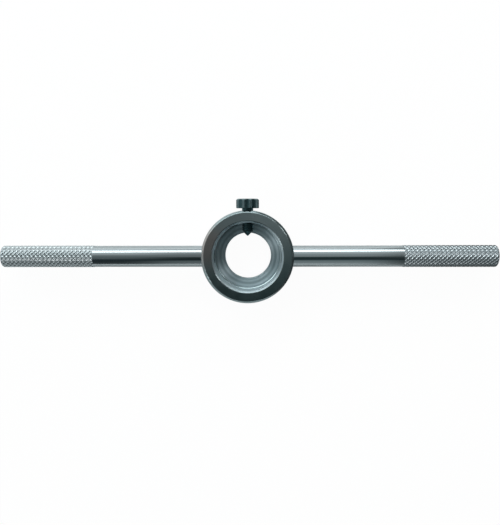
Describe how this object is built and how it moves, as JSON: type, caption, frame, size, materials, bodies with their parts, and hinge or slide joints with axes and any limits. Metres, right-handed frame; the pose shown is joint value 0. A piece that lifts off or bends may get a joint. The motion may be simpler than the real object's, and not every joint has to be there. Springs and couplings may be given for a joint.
{
  "type": "die stock handle",
  "caption": "Die stock handle: a steel ring with a stepped pocket for a round threading die, knurled arms on both sides and a fluted thumb screw with a pointed end.",
  "frame": {"origin": "centre of the die seat, the flat shoulder at the bottom of the ring's pocket", "axes": "+Z along the ring's axis to the mouth of the pocket, the arms along X, the thumb screw along +Y"},
  "size_m": [0.28, 0.0585, 0.019],
  "materials": {
    "ring_steel": "turned",
    "arm_steel": "polished",
    "screw_steel": "black oxide"
  },
  "bodies": {
    "stock": {"ring_body": "ring_steel", "left_arm": "arm_steel", "right_arm": "arm_steel"},
    "screw_stud": {"thumb_screw_stud": "screw_steel"},
    "screw_head": {"thumb_screw_head": "screw_steel"}
  },
  "joints": [
    {"name": "screw_travel", "type": "slide", "parent": "stock", "child": "screw_stud", "axis": [0, 1, 0], "range_m": [-0.0009, 0.00741]},
    {"name": "screw_turn", "type": "hinge", "parent": "screw_stud", "child": "screw_head", "pos_m": [0, 0.0298, 0.0065], "axis": [0, 1, 0], "range_deg": [-255, 2100]}
  ],
  "couplings": [
    {"joint": "screw_travel", "follows": "screw_turn", "m_per_rad": 0.00020213}
  ]
}
